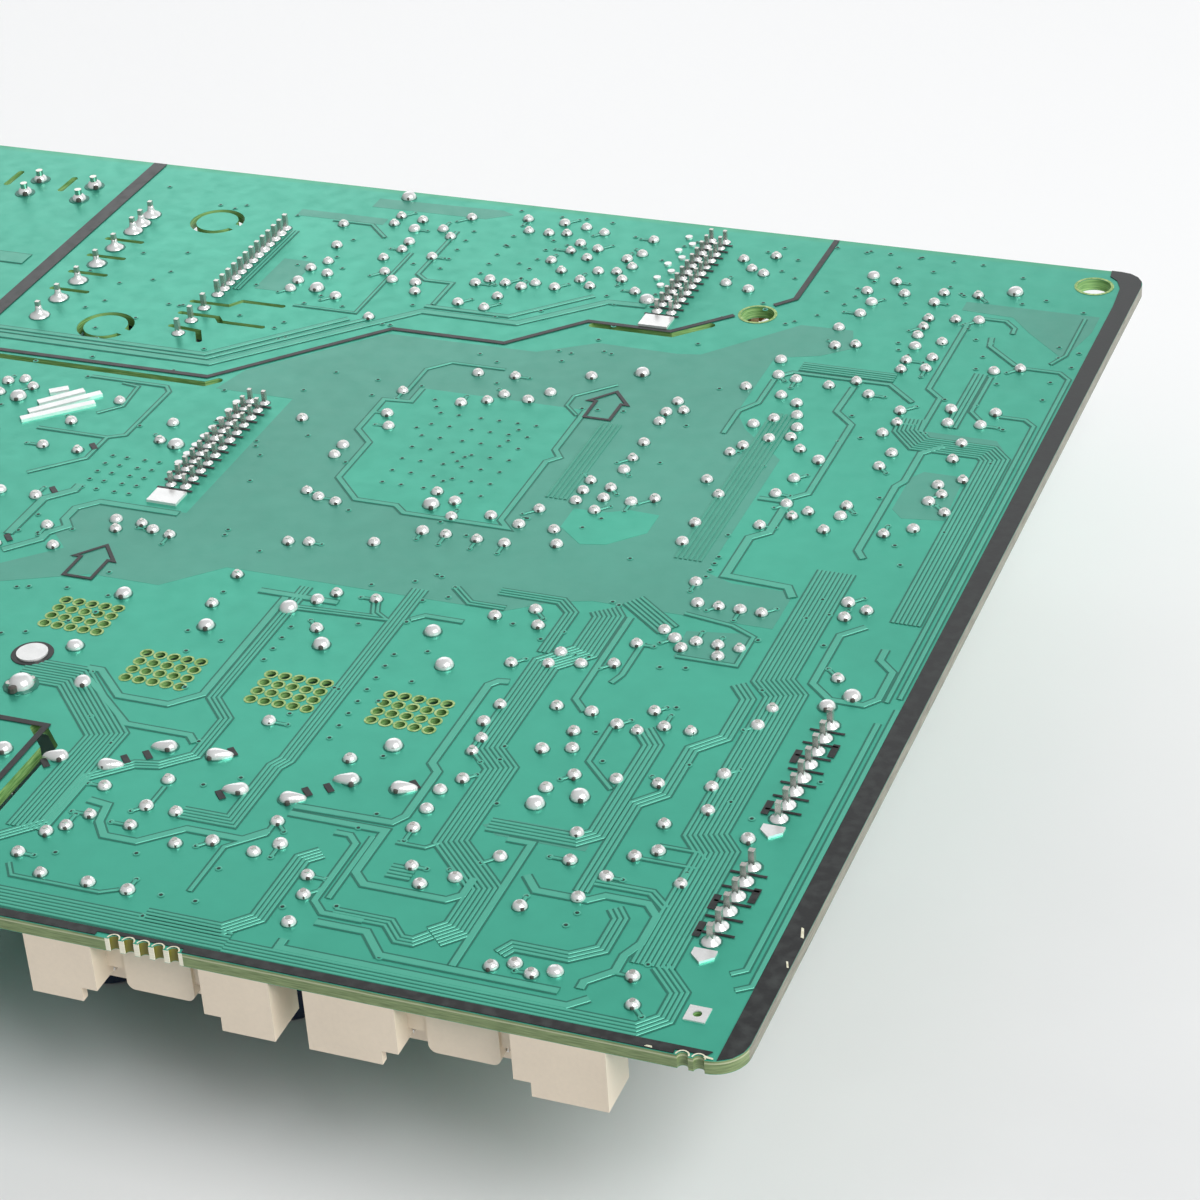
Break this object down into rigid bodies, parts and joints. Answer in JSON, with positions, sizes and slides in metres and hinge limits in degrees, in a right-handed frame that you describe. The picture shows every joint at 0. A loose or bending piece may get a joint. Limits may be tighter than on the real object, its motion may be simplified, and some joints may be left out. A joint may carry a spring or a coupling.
{
  "type": "printed circuit board assembly",
  "caption": "Green inverter control board, solder side up, with cream wafers at its edges and its power parts hanging beneath.",
  "frame": {"origin": "middle of the board's plan, at the height of the tallest parts' ends, on which it rests", "axes": "+X along the board's length, +Y from the front wafers to the back, +Z out of the solder side"},
  "size_m": [0.25, 0.168, 0.0288],
  "materials": {
    "laminate_green": "gloss",
    "solder_tin": "bright",
    "tinned_lead": "satin",
    "ivory_nylon": "satin",
    "white_nylon": "satin",
    "black_plastic": "matte",
    "chip_epoxy": "matte",
    "cast_heatsink": "satin",
    "screw_steel": "satin",
    "silicone_pad": "matte",
    "can_sleeve": "gloss",
    "dipped_tan": "satin",
    "resistor_coat": "satin",
    "flameproof_coat": "matte",
    "ferrite": "matte",
    "yellow_tape": "satin",
    "enamelled_copper": "gloss",
    "fuse_glass": "clear",
    "nickel_plate": "bright",
    "varistor_blue": "satin",
    "film_box": "satin",
    "core_paint": "satin",
    "relay_case": "satin"
  },
  "bodies": {
    "root": {"circuit_board": "laminate_green", "solder_joints": "solder_tin", "large_solder_joints": "solder_tin", "pin_solder": "solder_tin", "tinned_pads": "solder_tin", "front_wafer_left": "ivory_nylon", "front_wafer_right": "ivory_nylon", "front_wafer_pins": "tinned_lead", "side_wafer_back": "ivory_nylon", "side_wafer_front": "ivory_nylon", "service_wafer": "ivory_nylon", "wafer_pins": "tinned_lead", "header_back": "black_plastic", "header_left": "black_plastic", "header_pins": "tinned_lead", "power_module": "chip_epoxy", "power_module_pins": "tinned_lead", "thermal_sheet": "silicone_pad", "heatsink": "cast_heatsink", "heatsink_screws": "screw_steel", "controller_chip": "chip_epoxy", "controller_leads": "tinned_lead", "driver_chip": "chip_epoxy", "driver_leads": "tinned_lead", "electrolytic_capacitors": "can_sleeve", "electrolytic_leads": "tinned_lead", "bulk_capacitors": "can_sleeve", "bulk_capacitor_leads": "tinned_lead", "ceramic_capacitors": "dipped_tan", "ceramic_capacitor_leads": "tinned_lead", "wire_links": "tinned_lead", "resistors": "resistor_coat", "resistor_leads": "tinned_lead", "power_resistors": "flameproof_coat", "power_resistor_leads": "tinned_lead", "transistors": "chip_epoxy", "transistor_leads": "tinned_lead", "test_pins": "tinned_lead", "blade_terminals": "nickel_plate", "transformer_core": "ferrite", "transformer_bobbin": "black_plastic", "transformer_winding": "yellow_tape", "transformer_pins": "tinned_lead", "bridge_rectifier": "chip_epoxy", "bridge_leads": "tinned_lead", "fuse_tube": "fuse_glass", "fuse_caps": "nickel_plate", "fuse_clips": "nickel_plate", "varistor": "varistor_blue", "varistor_leads": "tinned_lead", "film_capacitors": "film_box", "film_capacitor_leads": "tinned_lead", "choke_core": "core_paint", "choke_winding": "enamelled_copper", "relays": "relay_case", "relay_pins": "tinned_lead", "mains_header": "white_nylon", "mains_header_pins": "tinned_lead", "crystal": "nickel_plate", "chip_components": "chip_epoxy"}
  },
  "joints": []
}
